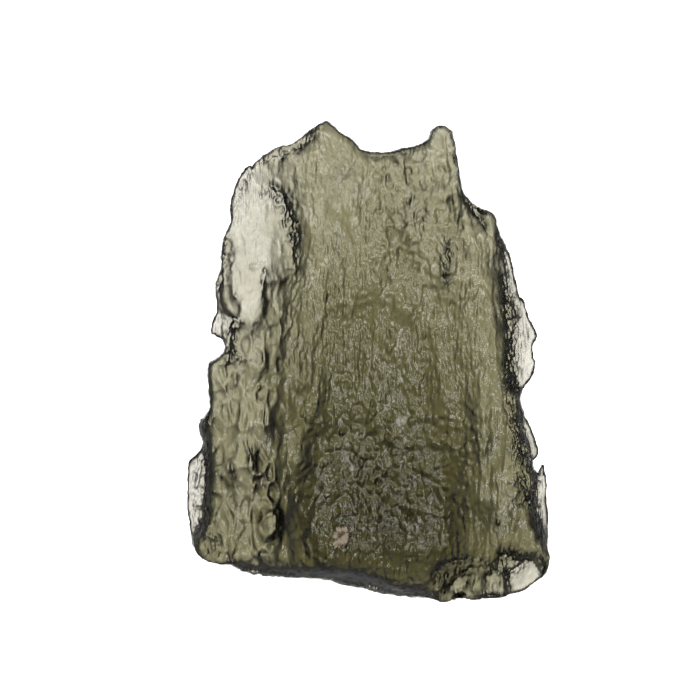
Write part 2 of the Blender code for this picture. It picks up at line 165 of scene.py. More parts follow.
TOP_LEFT_LENSES = [
    Lens(-5.2, 20.6, 0.82, 1.18, 0, -0.04, 0.9),
    Lens(-11.1, 17.4, 0.55, 0.55, 20, -0.04, 0.9),
    Lens(-9.5, 13.5, 0.55, 0.73, 0, -0.04, 0.9),
    Lens(-7.6, 14.1, 0.55, 0.73, 0, -0.09, 0.9),
    Lens(-7.7, 12.9, 0.23, 0.55, 0, -0.25, 0.9),
    Lens(-6.8, 10.2, 0.36, 2.18, 0, -0.05, 0.9),
    Lens(-10.4, 8.7, 0.73, 0.36, 0, -0.09, 0.9),
    Lens(-7.3, 8.6, 0.36, 0.18, 20, -0.09, 0.9),
]
LEFT_LENSES = [
    Lens(-12.8, 6.7, 0.47, 1.55, 0, 0.11, 0.95),
    Lens(-12.7, 4.8, 0.41, 0.33, 0, 0.1, 1),
    Lens(-11.9, 4.8, 0.36, 0.64, 0, 0.11, 1),
    Lens(-13.2, 3.2, 0.32, 0.59, 10, 0.13, 1),
    Lens(-10.4, 1.5, 0.27, 0.82, 8, 0.08, 1),
    Lens(-10.5, -0.5, 0.29, 0.91, -5, 0.1, 1),
    Lens(-11.2, -1.9, 0.27, 0.73, -10, 0.08, 1),
    Lens(-8.9, 0, 0.36, 1.55, 0, 0.1, 1),
    Lens(-12.7, -1.5, 0.64, 0.82, -5, 0.11, 0.95),
    Lens(-11.4, -1.5, 0.36, 1.09, 0, 0.09, 1),
    Lens(-13.3, -3.8, 0.24, 0.4, 0, -0.21, 1),
    Lens(-9.9, -2.3, 0.25, 0.41, 0, -0.23, 1),
    Lens(-9.5, -4.9, 0.18, 0.77, 6, -0.23, 1),
    Lens(-11.3, -5.5, 0.45, 0.64, 0, 0.11, 0.95),
    Lens(-13.5, -6.3, 0.27, 0.27, 0, 0.1, 1),
    Lens(-13.5, -6.3, 0.11, 0.13, 0, -0.19, 1),
    Lens(-15.1, -5.3, 0.29, 0.45, 0, 0.08, 1),
    Lens(-15.3, -6.5, 0.27, 0.36, 0, 0.08, 1),
    Lens(-13.9, -7.9, 0.16, 0.32, 0, -0.23, 1),
    Lens(-13.1, -10.3, 0.24, 0.45, 0, -0.23, 1),
    Lens(-12.3, -9.7, 0.36, 0.82, -10, -0.27, 1),
    Lens(-10.5, -9, 0.29, 1, -8, -0.21, 1),
    Lens(-10.3, -11.3, 0.13, 0.55, 0, -0.19, 1),
    Lens(-10.5, -12.3, 0.2, 0.24, 0, -0.19, 1),
    Lens(-11.9, -7.7, 0.55, 1, -12, 0.11, 1),
    Lens(-9, -9.5, 0.55, 0.64, 0, 0.08, 0.95),
    Lens(-12.9, -12.3, 0.25, 0.24, 0, 0.06, 1),
    Lens(-15.9, -10.8, 0.5, 2.45, 0, -0.02, 0.8),
    Lens(-13.5, -16.5, 0.33, 0.82, 8, 0.11, 1),
    Lens(-10.2, -14.4, 0.5, 2, -4, 0.1, 1),
    Lens(-9.9, -17.2, 0.64, 1, -28, 0.08, 1),
    Lens(-8.8, -14.7, 0.68, 2.25, -4, -0.08, 1),
    Lens(-9, -17.5, 0.14, 0.33, 0, -0.19, 1),
    Lens(-11.5, -14.4, 0.55, 1.45, -5, 0.06, 1),
    Lens(-12.3, -16.6, 0.45, 1, -15, 0.06, 1),
    Lens(-11.8, -3.9, 0.45, 1, 8, 0.06, 1),
    Lens(-10.4, -6.3, 0.45, 0.82, 0, 0.06, 1),
    Lens(-13.3, -8.9, 0.36, 0.73, 10, 0.07, 1),
    Lens(-11.4, -11.6, 0.45, 0.91, -8, 0.08, 1),
    Lens(-12.4, -13.5, 0.41, 0.82, 0, 0.06, 1),
    Lens(-7.5, 1.1, 0.55, 1.45, 5, 0.05, 1),
    Lens(-7.6, -3, 0.55, 1.64, 5, 0.05, 1),
    Lens(-7.8, -7.1, 0.55, 1.45, 5, 0.05, 1),
]
RIGHT_LENSES = [
    Lens(5.5, 18.9, 1, 0.82, 0, -0.04, 1),
    Lens(7.6, 14.9, 0.31, 1.45, 0, 0.1, 1),
    Lens(8.5, 12.3, 0.36, 0.73, -15, 0.1, 1),
    Lens(9.7, 13.8, 0.73, 1.09, -35, -0.19, 1),
    Lens(10.7, 13.8, 0.55, 0.45, 0, 0.1, 1),
    Lens(10.6, 12.3, 0.22, 0.73, -20, -0.24, 1),
    Lens(7.1, 9.1, 0.73, 1.91, 0, -0.15, 0.85),
    Lens(11.1, 6.7, 0.64, 2.36, -6, 0.11, 1),
    Lens(11.5, 0.6, 0.55, 4.18, -2, 0.11, 1),
    Lens(12, -2.6, 0.36, 0.91, 0, 0.1, 1),
    Lens(14.4, 1.5, 0.68, 3, -4, 0.05, 0.75),
    Lens(11.6, -5.4, 0.15, 1.09, 0, -0.24, 1),
    Lens(10.9, -10.5, 0.38, 4, 0, 0.13, 1),
    Lens(11.7, -14.4, 0.24, 0.36, 0, -0.29, 1),
    Lens(12.8, -9.5, 0.27, 0.27, 0, 0.08, 1),
    Lens(12.8, -11.1, 0.31, 0.36, 0, 0.08, 1),
    Lens(13.6, -11.2, 0.18, 0.41, 0, 0.08, 1),
    Lens(13, -12, 0.68, 0.45, 0, -0.05, 0.9),
    Lens(10.5, -8, 0.24, 0.82, 0, -0.08, 1),
    Lens(15.1, -7.4, 0.31, 1, 0, 0.06, 1),
    Lens(15.5, -11, 0.45, 0.77, 0, 0.06, 0.9),
    Lens(15.5, -16.7, 0.55, 1.27, -10, 0.05, 1),
]
NEAR_LENSES = [
    Lens(7.9, -17.9, 1.36, 0.41, -8, -0.27, 1),
    Lens(12.9, -18.1, 1.5, 1.0, 0, 0.35, 0.7),
    Lens(9, -19.4, 1, 1.36, 12, 0.18, 0.8),
    Lens(6.4, -19.2, 0.64, 0.64, 0, 0.12, 1),
    Lens(7, -19.1, 0.31, 0.33, 40, -0.36, 1),
    Lens(6.5, -19.9, 0.2, 0.18, 0, -0.3, 1),
    Lens(6.1, -21.1, 0.45, 0.45, 0, -0.36, 1),
    Lens(11.4, -21.2, 1.09, 0.36, 0, -0.48, 1),
    Lens(9.5, -21, 0.64, 0.55, 0, 0.06, 1),
    Lens(12.2, -20, 0.42, 0.68, 0, 0.15, 0.9),
    Lens(14.7, -19.8, 1.45, 1.18, -10, -0.06, 0.75),
    Lens(-2.2, -15.6, 0.91, 1, 0, -0.14, 1),
    Lens(-1, -15.5, 0.42, 0.45, 0, -0.06, 1),
    Lens(-2.3, -18.7, 0.55, 0.91, 35, 0.12, 1),
    Lens(-0.6, -18.8, 0.31, 1, 10, 0.11, 1),
    Lens(0.2, -18, 0.24, 0.45, 0, 0.1, 1),
    Lens(3.1, -18.6, 0.24, 0.73, 0, 0.1, 1),
    Lens(-4.2, -19, 0.41, 0.15, 0, -0.24, 1),
    Lens(-1.4, -19.7, 0.23, 0.25, 0, -0.24, 1),
    Lens(-4.3, -19.9, 0.27, 0.15, 0, -0.24, 1),
    Lens(-2.2, -5.1, 1.73, 0.6, 0, -0.05, 1),
    Lens(-3.5, -11.7, 1, 0.65, -5, -0.06, 1),
    Lens(-2.7, -13.6, 1.18, 0.75, 0, -0.06, 1),
    Lens(-3.2, -13.8, 0.45, 0.23, 0, 0.04, 1),
    Lens(3.9, -8, 0.33, 0.59, 0, 0.07, 1),
    Lens(2.1, -7.4, 0.29, 0.29, 0, 0.07, 1),
    Lens(3.5, -9.5, 0.36, 0.22, 0, 0.07, 1),
    Lens(1.6, -8.3, 0.24, 0.29, 0, 0.07, 1),
    Lens(1.6, -10.3, 0.36, 0.45, 0, 0.07, 1),
    Lens(-0.7, -3.6, 0.73, 0.59, 0, 0.06, 1),
]
TOP_LEFT_STROKES = [
    Stroke([(-6.2, 19.5), (-5.6, 19.3), (-4.2, 19.6)], 0.21, -0.04),
    Stroke([(-6.3, 19.6), (-5.9, 20.9), (-5.2, 21.6)], 0.2, -0.04),
    Stroke([(-11.7, 14.9), (-11.4, 13.8), (-10.9, 13.2)], 0.18, -0.02),
    Stroke([(-9.9, 17.6), (-9.8, 17.2)], 0.18, -0.04),
    Stroke([(-9.0, 18.7), (-8.9, 18.3)], 0.18, -0.04),
    Stroke([(-8.5, 16.3), (-8.3, 15.6), (-8.1, 14.9)], 0.18, -0.04),
    Stroke([(-9.3, 14.4), (-8.5, 14.6), (-7.9, 14.2), (-7.1, 14.3)], 0.26, -0.04),
    Stroke([(-7.9, 13.5), (-7.6, 12.9), (-7.6, 12.3)], 0.29, -0.07),
    Stroke([(-7.2, 12.2), (-6.9, 11.1), (-7.1, 10.0), (-6.6, 9.1), (-6.5, 8.4)], 0.25, -0.04),
    Stroke([(-6.5, 8.5), (-7.2, 8.6)], 0.26, -0.04),
    Stroke([(-9.5, 8.3), (-9.5, 7.5), (-9.5, 6.9), (-9.8, 6.5), (-9.9, 6.0)], 0.29, -0.09),
    Stroke([(-11.1, 8.5), (-10.4, 8.9), (-9.6, 8.5)], 0.21, -0.04),
    Stroke([(-4.5, 19.1), (-4.5, 17.0)], 0.18, 0.02),
    Stroke([(-4.3, 17.0), (-4.3, 14.9)], 0.18, -0.02),
    Stroke([(-11.6, 17.8), (-11.1, 17.3), (-10.5, 16.7)], 0.14, -0.02),
    Stroke([(-11.3, 16.7), (-10.7, 17.6)], 0.14, -0.02),
    Stroke([(-1.9, 19.3), (-1.6, 16.1), (-1.7, 13.4), (-1.5, 9.5)], 0.38, -0.02),
    Stroke([(-1.1, 18.4), (-0.7, 14.7), (-0.9, 11.5), (-0.5, 9.1)], 0.35, -0.02),
    Stroke([(-7.5, 17.9), (-7.4, 16.4)], 0.18, -0.02),
]
LEFT_STROKES = [
    Stroke([(-13.4, 8.4), (-13.5, 7.0), (-13.5, 6.0), (-13.4, 5.4)], 0.2, -0.09),
    Stroke([(-12.3, 7.7), (-12.3, 7.2)], 0.22, -0.12),
    Stroke([(-12.3, 7.0), (-12.4, 6.6)], 0.2, -0.11),
    Stroke([(-11.8, 8.2), (-11.7, 7.3), (-11.9, 6.5), (-12.1, 5.7)], 0.16, -0.06),
    Stroke([(-12.1, 5.9), (-12.3, 5.5)], 0.2, -0.12),
    Stroke([(-11.5, 5.4), (-11.5, 4.7), (-11.6, 4.2)], 0.19, -0.09),
    Stroke([(-13.5, 4.5), (-12.9, 4.4), (-12.5, 4.1), (-12.0, 4.3), (-11.6, 3.9)], 0.25, -0.13),
    Stroke([(-13.3, 3.9), (-12.8, 3.6), (-12.5, 3.1), (-12.5, 2.4)], 0.28, -0.14),
    Stroke([(-12.3, 3.8), (-11.8, 3.6), (-11.7, 3.2)], 0.3, -0.17),
    Stroke([(-11.4, 4.0), (-11.1, 3.3), (-11.2, 2.5)], 0.16, -0.06),
    Stroke([(-13.3, 2.2), (-12.8, 1.5), (-12.3, 0.9), (-12.0, 0.2)], 0.25, -0.12),
    Stroke([(-12.7, 2.0), (-12.4, 1.6)], 0.34, -0.14),
    Stroke([(-9.7, 4.7), (-9.6, 4.0), (-9.8, 3.6)], 0.14, -0.05),
    Stroke([(-9.5, 4.4), (-9.4, 3.4)], 0.16, -0.07),
    Stroke([(-9.3, 3.6), (-9.0, 2.9), (-9.0, 2.3)], 0.2, -0.11),
    Stroke([(-10.4, 2.9), (-9.6, 2.4), (-9.4, 1.5), (-9.4, 0.0)], 0.18, -0.09),
    Stroke([(-9.5, 0.9), (-9.5, -0.4), (-9.9, -1.1), (-10.1, -1.7)], 0.25, -0.14),
    Stroke([(-10.9, -1.9), (-11.0, -2.5), (-11.4, -3.2)], 0.14, -0.06),
    Stroke([(-13.7, -0.7), (-13.5, -1.6), (-12.9, -2.6)], 0.2, -0.12),
    Stroke([(-12.0, -1.0), (-12.0, -2.0)], 0.19, -0.11),
    Stroke([(-14.1, -0.2), (-14.1, -2.1), (-14.0, -3.5)], 0.14, 0.02),
    Stroke([(-10.8, -4.9), (-10.9, -5.6), (-11.0, -6.2)], 0.16, -0.08),
    Stroke([(-11.7, -5.1), (-11.8, -5.8), (-11.5, -6.3)], 0.14, -0.05),
    Stroke([(-9.5, -4.1), (-9.7, -4.8), (-9.5, -5.6), (-9.4, -6.3)], 0.16, -0.09),
    Stroke([(-14.8, -6.8), (-15.0, -7.6), (-14.9, -8.5)], 0.2, -0.11),
    Stroke([(-15.5, -9.8), (-15.6, -10.5), (-15.4, -11.3)], 0.19, -0.07),
    Stroke([(-16.1, -10.5), (-16.1, -11.6)], 0.14, -0.05),
    Stroke([(-14.7, -7.1), (-14.7, -9.8), (-14.8, -12.5), (-14.6, -14.4)], 0.2, -0.09),
    Stroke([(-14.5, -8.2), (-14.4, -10.7), (-14.5, -13.6)], 0.14, 0.04),
    Stroke([(-12.4, -8.5), (-11.8, -9.4), (-11.5, -10.4)], 0.15, 0.06),
    Stroke([(-11.1, -7.1), (-10.8, -8.2), (-10.7, -9.8)], 0.19, -0.09),
    Stroke([(-10.4, -7.6), (-10.2, -8.9), (-10.3, -10.2)], 0.18, -0.09),
    Stroke([(-8.6, -8.7), (-8.4, -9.5), (-8.5, -10.5)], 0.16, -0.07),
    Stroke([(-9.6, -9.1), (-9.6, -10.2)], 0.14, -0.06),
    Stroke([(-13.9, -15.1), (-14.1, -16.2), (-13.8, -17.3)], 0.18, -0.09),
    Stroke([(-13.2, -15.6), (-13.1, -16.5), (-13.4, -17.4)], 0.18, -0.09),
    Stroke([(-9.8, -12.4), (-9.1, -12.3), (-8.5, -12.7), (-8.1, -13.5), (-7.9, -14.8),
            (-7.9, -15.9), (-8.5, -17.0)], 0.22, -0.13),
    Stroke([(-9.5, -12.8), (-9.5, -14.5), (-9.3, -16.2)], 0.14, -0.06),
    Stroke([(-8.9, -13.3), (-8.8, -16.2)], 0.14, 0.02),
    Stroke([(-10.8, -13.0), (-10.5, -15.3), (-10.4, -16.9)], 0.15, -0.06),
    Stroke([(-11.2, -16.2), (-10.5, -17.6), (-9.6, -18.5)], 0.16, -0.06),
    Stroke([(-15.5, -14.2), (-15.2, -15.7), (-14.5, -17.3), (-13.8, -18.1)], 0.3, -0.14),
    Stroke([(-14.8, -14.4), (-14.5, -15.8), (-14.1, -17.1)], 0.15, 0.05),
    Stroke([(-6.2, -6.9), (-6.5, -8.2), (-6.7, -9.8), (-6.5, -11.6)], 0.3, -0.06),
    Stroke([(-7.1, -9.8), (-7.3, -12.5), (-7.1, -15.3)], 0.25, -0.05),
    Stroke([(-8.4, 1.1), (-8.3, -1.6), (-8.5, -3.9)], 0.19, -0.05),
    Stroke([(-12.0, 2.9), (-11.6, 1.1), (-11.4, 0.0)], 0.16, -0.06),
    Stroke([(-10.7, -3.5), (-10.5, -4.5), (-10.5, -6.0)], 0.14, -0.05),
    Stroke([(-12.7, -3.0), (-12.5, -4.4), (-12.6, -6.2)], 0.15, -0.06),
    Stroke([(-8.9, -5.7), (-8.7, -7.1), (-8.9, -8.5)], 0.15, -0.06),
    Stroke([(-14.2, -3.9), (-14.1, -5.7), (-14.3, -7.3)], 0.16, -0.06),
    Stroke([(-12.9, -6.7), (-13.1, -8.2), (-12.9, -9.5)], 0.15, -0.06),
    Stroke([(-12.0, -11.2), (-11.8, -13.0), (-12.1, -14.8)], 0.15, -0.05),
]
RIGHT_STROKES = [
    Stroke([(3.1, 19.5), (3.2, 19.0)], 0.21, -0.08),
    Stroke([(3.4, 19.7), (4.0, 19.6), (4.7, 19.8)], 0.22, -0.03),
    Stroke([(5.1, 20.4), (5.9, 20.1)], 0.14, -0.06),
    Stroke([(6.3, 21.5), (6.8, 21.3)], 0.17, -0.09),
    Stroke([(6.8, 20.2), (7.3, 16.5), (7.6, 13.8), (8.0, 11.1)], 0.15, 0.06),
    Stroke([(7.1, 20.2), (7.5, 16.5), (7.9, 13.8)], 0.14, -0.06),
    Stroke([(7.9, 18.4), (8.4, 15.6), (8.9, 13.4), (9.5, 11.5), (10.0, 10.2)], 0.15, 0.06),
    Stroke([(8.0, 19.7), (8.3, 17.9), (8.6, 15.6)], 0.14, -0.08),
    Stroke([(8.3, 17.9), (8.8, 15.2), (9.4, 13.2)], 0.13, -0.06),
    Stroke([(8.8, 15.1), (9.5, 14.3), (10.2, 13.1)], 0.29, -0.19),
    Stroke([(10.0, 14.2), (9.8, 13.3)], 0.21, -0.13),
    Stroke([(10.4, 13.1), (10.7, 12.2), (11.0, 11.5)], 0.22, -0.14),
    Stroke([(8.4, 11.3), (8.5, 10.2)], 0.22, -0.14),
    Stroke([(8.7, 7.1), (8.7, 5.9)], 0.21, -0.13),
    Stroke([(8.5, 6.1), (8.5, 4.6)], 0.21, -0.13),
    Stroke([(7.8, 11.1), (7.9, 9.5), (7.7, 7.8)], 0.17, -0.11),
    Stroke([(8.6, 11.1), (8.7, 9.2)], 0.14, -0.09),
    Stroke([(6.5, 10.6), (6.7, 9.1), (6.5, 7.3)], 0.17, -0.08),
    Stroke([(7.2, 10.2), (7.3, 8.4)], 0.14, -0.07),
    Stroke([(11.4, 7.1), (11.3, 5.5), (11.8, 4.2)], 0.14, -0.08),
    Stroke([(12.0, 13.5), (12.4, 11.1), (12.8, 8.4), (13.2, 5.6)], 0.19, -0.11),
    Stroke([(12.4, 12.7), (12.7, 10.2), (13.2, 7.0)], 0.15, -0.09),
    Stroke([(11.7, 11.1), (12.1, 8.4), (12.5, 5.6)], 0.14, -0.06),
    Stroke([(12.5, 5.6), (12.9, 2.0), (13.1, -1.6), (13.5, -5.3)], 0.26, -0.16),
    Stroke([(13.1, 4.7), (13.5, 1.1), (13.6, -2.5), (14.0, -6.2)], 0.24, -0.14),
    Stroke([(12.7, 2.9), (13.2, -1.2), (13.6, -5.7)], 0.14, 0.05),
    Stroke([(14.4, 3.8), (14.5, 1.5)], 0.15, -0.08),
    Stroke([(14.5, -1.2), (14.8, -2.0), (15.0, -2.6)], 0.22, -0.14),
    Stroke([(13.9, 4.0), (13.8, 2.0), (13.9, -0.3)], 0.19, -0.11),
    Stroke([(11.5, -4.0), (11.4, -5.3), (11.5, -6.7)], 0.17, -0.09),
    Stroke([(11.8, -4.0), (11.9, -5.3), (11.8, -6.7)], 0.14, -0.08),
    Stroke([(10.8, 0.9), (11.7, 0.8)], 0.12, -0.03),
    Stroke([(10.8, 0.5), (11.7, 0.4)], 0.12, -0.03),
    Stroke([(10.8, 0.0), (11.7, -0.1)], 0.12, -0.03),
    Stroke([(10.8, -0.5), (11.7, -0.5)], 0.12, -0.03),
    Stroke([(11.7, -10.7), (11.8, -11.8), (11.7, -13.0)], 0.19, -0.11),
    Stroke([(10.0, -7.1), (10.2, -9.8), (10.0, -13.0)], 0.21, -0.09),
    Stroke([(13.8, -6.2), (14.1, -8.9), (14.5, -12.1)], 0.24, -0.14),
    Stroke([(14.5, -6.2), (14.7, -8.9), (15.0, -12.5)], 0.24, -0.14),
    Stroke([(14.2, -6.2), (14.5, -9.8), (14.7, -12.5)], 0.14, 0.05),
    Stroke([(15.5, -12.1), (15.5, -13.6), (15.5, -15.3)], 0.24, -0.13),
    Stroke([(8.9, -8.0), (9.5, -8.1)], 0.12, -0.03),
    Stroke([(8.9, -8.5), (9.5, -8.6)], 0.12, -0.03),
    Stroke([(8.9, -9.1), (9.5, -9.2)], 0.12, -0.03),
    Stroke([(8.9, -9.6), (9.5, -9.7)], 0.12, -0.03),
    Stroke([(14.8, -15.3), (15.0, -16.9), (15.3, -18.5)], 0.13, 0.03),
    Stroke([(15.4, -15.3), (15.5, -16.9), (15.5, -18.2)], 0.13, 0.03),
    Stroke([(15.9, -15.5), (15.8, -16.9), (15.7, -18.2)], 0.13, 0.03),
    Stroke([(10.2, -15.3), (10.4, -16.6), (10.3, -17.8)], 0.14, 0.05),
    Stroke([(10.8, -15.3), (11.0, -16.6), (10.9, -17.6)], 0.14, 0.05),
    Stroke([(11.5, -15.5), (11.6, -16.7)], 0.14, 0.05),
    Stroke([(9.6, -10.7), (9.7, -13.0), (9.5, -14.8)], 0.15, -0.06),
]
NEAR_STROKES = [
    Stroke([(6.3, -18.2), (7.6, -17.8), (9.3, -17.6)], 0.29, -0.17),
    Stroke([(8.5, -19.0), (9.5, -17.7)], 0.21, 0.11),
    Stroke([(5.6, -20.1), (6.4, -19.2), (7.1, -18.4)], 0.19, 0.09),
    Stroke([(8.0, -18.5), (7.7, -19.6), (8.0, -20.9)], 0.19, -0.14),
    Stroke([(10.2, -18.0), (10.1, -19.5), (9.7, -20.9)], 0.21, -0.16),
    Stroke([(11.3, -18.3), (12.0, -17.6), (12.9, -17.6)], 0.26, -0.22),
    Stroke([(13.1, -19.4), (13.8, -18.5), (14.5, -18.2)], 0.21, -0.14),
    Stroke([(13.1, -20.9), (14.2, -21.3), (15.5, -20.7)], 0.14, -0.09),
    Stroke([(16.2, -17.6), (16.4, -18.5), (16.3, -19.5)], 0.21, -0.11),
    Stroke([(7.2, -15.8), (7.4, -17.5)], 0.14, 0.06),
    Stroke([(7.8, -15.7), (7.9, -17.3)], 0.14, 0.06),
    Stroke([(8.4, -15.9), (8.5, -17.6)], 0.13, 0.05),
    Stroke([(-5.0, -0.4), (-5.2, -1.6), (-5.4, -2.8), (-5.7, -3.9), (-6.0, -4.8)], 0.19, -0.11),
    Stroke([(-4.5, -0.7), (-4.5, -2.1), (-4.5, -3.5), (-4.7, -4.4)], 0.15, -0.09),
    Stroke([(0.0, -2.4), (0.3, -3.6), (0.1, -5.3)], 0.17, -0.08),
    Stroke([(-0.1, -8.7), (-0.7, -9.8), (-1.1, -10.9)], 0.17, 0.07),
    Stroke([(0.5, -9.1), (-0.1, -10.2), (-0.5, -11.3)], 0.15, 0.06),
    Stroke([(-3.2, -12.5), (-2.5, -12.1), (-1.9, -11.5)], 0.19, 0.08),
    Stroke([(-1.4, -17.7), (-2.0, -18.7), (-2.7, -19.6)], 0.19, 0.07),
    Stroke([(-1.0, -18.0), (-1.5, -19.1), (-2.0, -19.8)], 0.17, -0.1),
    Stroke([(-0.4, -18.0), (-0.4, -19.8)], 0.15, -0.08),
    Stroke([(5.6, -16.2), (5.3, -17.3), (4.7, -18.3)], 0.15, 0.06),
    Stroke([(6.5, -16.2), (6.4, -17.3), (6.0, -18.2)], 0.15, 0.06),
    Stroke([(8.9, -12.5), (9.2, -14.4), (9.0, -16.6)], 0.15, -0.07),
    Stroke([(6.4, -12.5), (6.6, -14.4), (6.5, -16.0)], 0.14, -0.06),
]
# Places with a granular, layered skin, given as strokes of a strength up to 1
ROUGH_PLACES = [
    Stroke([(-15.0, -6.2), (-14.9, -8.9), (-14.9, -12.5)], 0.41, 0.9),
    Stroke([(-15.7, -9.1), (-15.8, -12.5), (-15.5, -15.3)], 0.45, 0.7),
    Stroke([(-12.4, 3.1), (-12.3, 1.5), (-12.6, 0.5)], 0.32, 0.9),
    Stroke([(-8.7, 16.0), (-7.9, 14.7)], 0.36, 0.5),
    Stroke([(-10.0, 9.1), (-9.3, 9.0)], 0.18, 0.5),
    Stroke([(12.8, 7.3), (13.2, 2.9), (13.1, -1.6), (13.4, -6.2), (13.9, -8.9),
            (14.3, -12.5)], 0.73, 1.0),
    Stroke([(15.5, -9.8), (15.6, -12.5), (15.5, -15.3)], 0.32, 0.8),
    Stroke([(12.4, 11.1), (12.8, 8.4)], 0.36, 0.6),
    Stroke([(-14.7, -3.5), (-14.7, -7.1), (-14.6, -11.6), (-14.7, -14.4)], 0.36, 0.9),
    Stroke([(-14.8, -13.0), (-14.4, -15.3), (-13.6, -16.9), (-12.4, -18.2)], 0.64, 0.9),
    Stroke([(-13.1, 1.9), (-12.5, 2.9), (-12.5, 1.1), (-12.9, 0.2)], 0.50, 1.0),
    Stroke([(-11.8, 0.9), (-11.6, 0.1)], 0.32, 0.8),
    Stroke([(-12.6, 4.0), (-11.8, 3.6)], 0.32, 0.9),
    Stroke([(-14.0, 3.9), (-13.6, 2.8)], 0.5, 0.5),
    Stroke([(-9.2, 15.2), (-8.2, 15.1), (-7.4, 14.2), (-7.1, 12.8), (-6.9, 11.6)], 0.75, 1.0),
    Stroke([(-7.4, 13.3), (-6.9, 12.0), (-6.6, 10.5)], 0.36, 0.6),
    Stroke([(-6.6, 10.2), (-6.4, 8.8), (-6.4, 7.5)], 0.23, 0.5),
    Stroke([(-9.6, 8.5), (-9.5, 7.5), (-9.7, 6.1)], 0.27, 0.7),
    Stroke([(-8.5, 14.0), (-8.4, 13.6)], 0.18, 0.7),
    Stroke([(-6.5, 19.5), (-5.5, 20.3), (-4.5, 21.2)], 0.42, 0.9),
    Stroke([(-7.2, 19.2), (-8.8, 18.5), (-10.2, 17.9), (-11.1, 17.0)], 0.25, 0.8),
    Stroke([(-11.1, 16.7), (-12.0, 14.7), (-12.6, 12.7), (-13.0, 10.2), (-13.3, 7.9),
            (-13.8, 5.6)], 0.4, 0.9),
    Stroke([(-12.5, 10.7), (-12.2, 9.6), (-12.3, 8.5)], 0.20, 0.5),
    Stroke([(-12.4, 7.0), (-12.3, 5.9)], 0.18, 0.6),
    Stroke([(7.1, 10.9), (7.5, 10.0), (7.0, 9.1)], 0.5, 0.8),
    Stroke([(6.8, 8.5), (7.2, 7.3)], 0.40, 0.7),
    Stroke([(8.6, 11.1), (8.8, 9.6)], 0.18, 0.6),
    Stroke([(9.0, 14.5), (9.6, 13.8), (10.2, 13.1)], 0.36, 0.9),
    Stroke([(10.5, 12.7), (10.8, 12.2)], 0.27, 0.6),
    Stroke([(12.0, -17.6), (13.1, -17.6), (13.8, -18.0), (13.2, -18.5), (12.2, -18.2)], 0.55, 1.0),
    Stroke([(12.1, -18.4), (13.0, -18.6), (13.8, -18.2)], 0.8, 1.0),
    Stroke([(7.3, -18.0), (8.2, -17.7), (9.1, -17.9)], 0.36, 0.9),
    Stroke([(6.6, -19.1), (6.4, -20.1)], 0.36, 0.8),
    Stroke([(10.0, -17.6), (10.7, -18.0)], 0.36, 0.7),
    Stroke([(10.0, -21.2), (11.1, -21.3), (12.3, -21.4)], 0.36, 1.0),
    Stroke([(5.6, -21.1), (6.5, -21.3)], 0.32, 0.8),
    Stroke([(-13.0, -18.6), (-11.2, -18.8), (-8.0, -19.3), (-5.3, -19.8)], 0.41, 0.6),
    Stroke([(-5.3, -19.8), (-1.6, -20.4), (2.9, -21.1), (5.6, -21.6)], 0.32, 0.5),
    Stroke([(-12.7, -9.3), (-12.2, -10.5)], 0.36, 0.6),
    Stroke([(-10.8, -8.0), (-10.4, -9.5)], 0.36, 0.6),
    Stroke([(-9.6, -10.5), (-8.5, -11.6)], 0.36, 0.6),
    Stroke([(-8.7, -12.7), (-8.3, -14.4), (-8.5, -16.4)], 0.41, 0.2),
    Stroke([(-10.4, -10.9), (-10.2, -11.7)], 0.23, 0.7),
]

# The crumb of soil: it sits on the high points of the skin within the seat's radius, sunk in a
# little, and slants across. Its tones are given with the noise values that they belong to.
CRUMB_PLACE = (-2.25, -15.6)
CRUMB_HALF_SIZE = (0.72, 0.84, 0.24)
CRUMB_SEAT_MM = 0.5
CRUMB_SINK_MM = 0.05
CRUMB_SLANT = 0.12
SOIL_TONES = [(0.35, (0.13, 0.095, 0.055, 1.0)), (0.55, (0.52, 0.43, 0.31, 1.0))]
SOIL_GRAINS_PER_MM = 2.2

LENSES = TOP_LEFT_LENSES + LEFT_LENSES + RIGHT_LENSES + NEAR_LENSES
STROKES = TOP_LEFT_STROKES + LEFT_STROKES + RIGHT_STROKES + NEAR_STROKES


def smooth(low, high, values):
    """0 below low, 1 above high, and an even rise between them."""
    share = np.clip((values - low) / (high - low), 0.0, 1.0)
    return share * share * (3 - 2 * share)


def lattice(column, row, seed):
    """A repeatable value of 0 to 1 for each whole-number place."""
    mixed = (column * SCRAMBLE[0] + row * SCRAMBLE[1] + seed * SCRAMBLE[2]) & 0xFFFFFFFF
    mixed = ((mixed ^ (mixed >> 13)) * SCRAMBLE[3]) & 0xFFFFFFFF
    return ((mixed ^ (mixed >> 16)) & 0xFFFF) / 65535.0


def lumps(x, y, seed):
    """Smooth values of -1 to 1, whose lumps are one unit across."""
    column, row = np.floor(x).astype(np.int64), np.floor(y).astype(np.int64)
    across, along = x - column, y - row
    across, along = across * across * (3 - 2 * across), along * along * (3 - 2 * along)
    near = lattice(column, row, seed) * (1 - across) + lattice(column + 1, row, seed) * across
    far = lattice(column, row + 1, seed) * (1 - across) + lattice(column + 1, row + 1, seed) * across
    return 2 * (near * (1 - along) + far * along) - 1


def grain(x, y, seed, layers=3):
    """Lumps with finer lumps on them, of about -1 to 1."""
    total, size, share = 0.0, 1.0, 0.57
    for layer in range(layers):
        total = total + share * lumps(x * size + 17.3 * layer, y * size, seed + layer)
        size, share = size * 2.1, share * 0.5
    return total


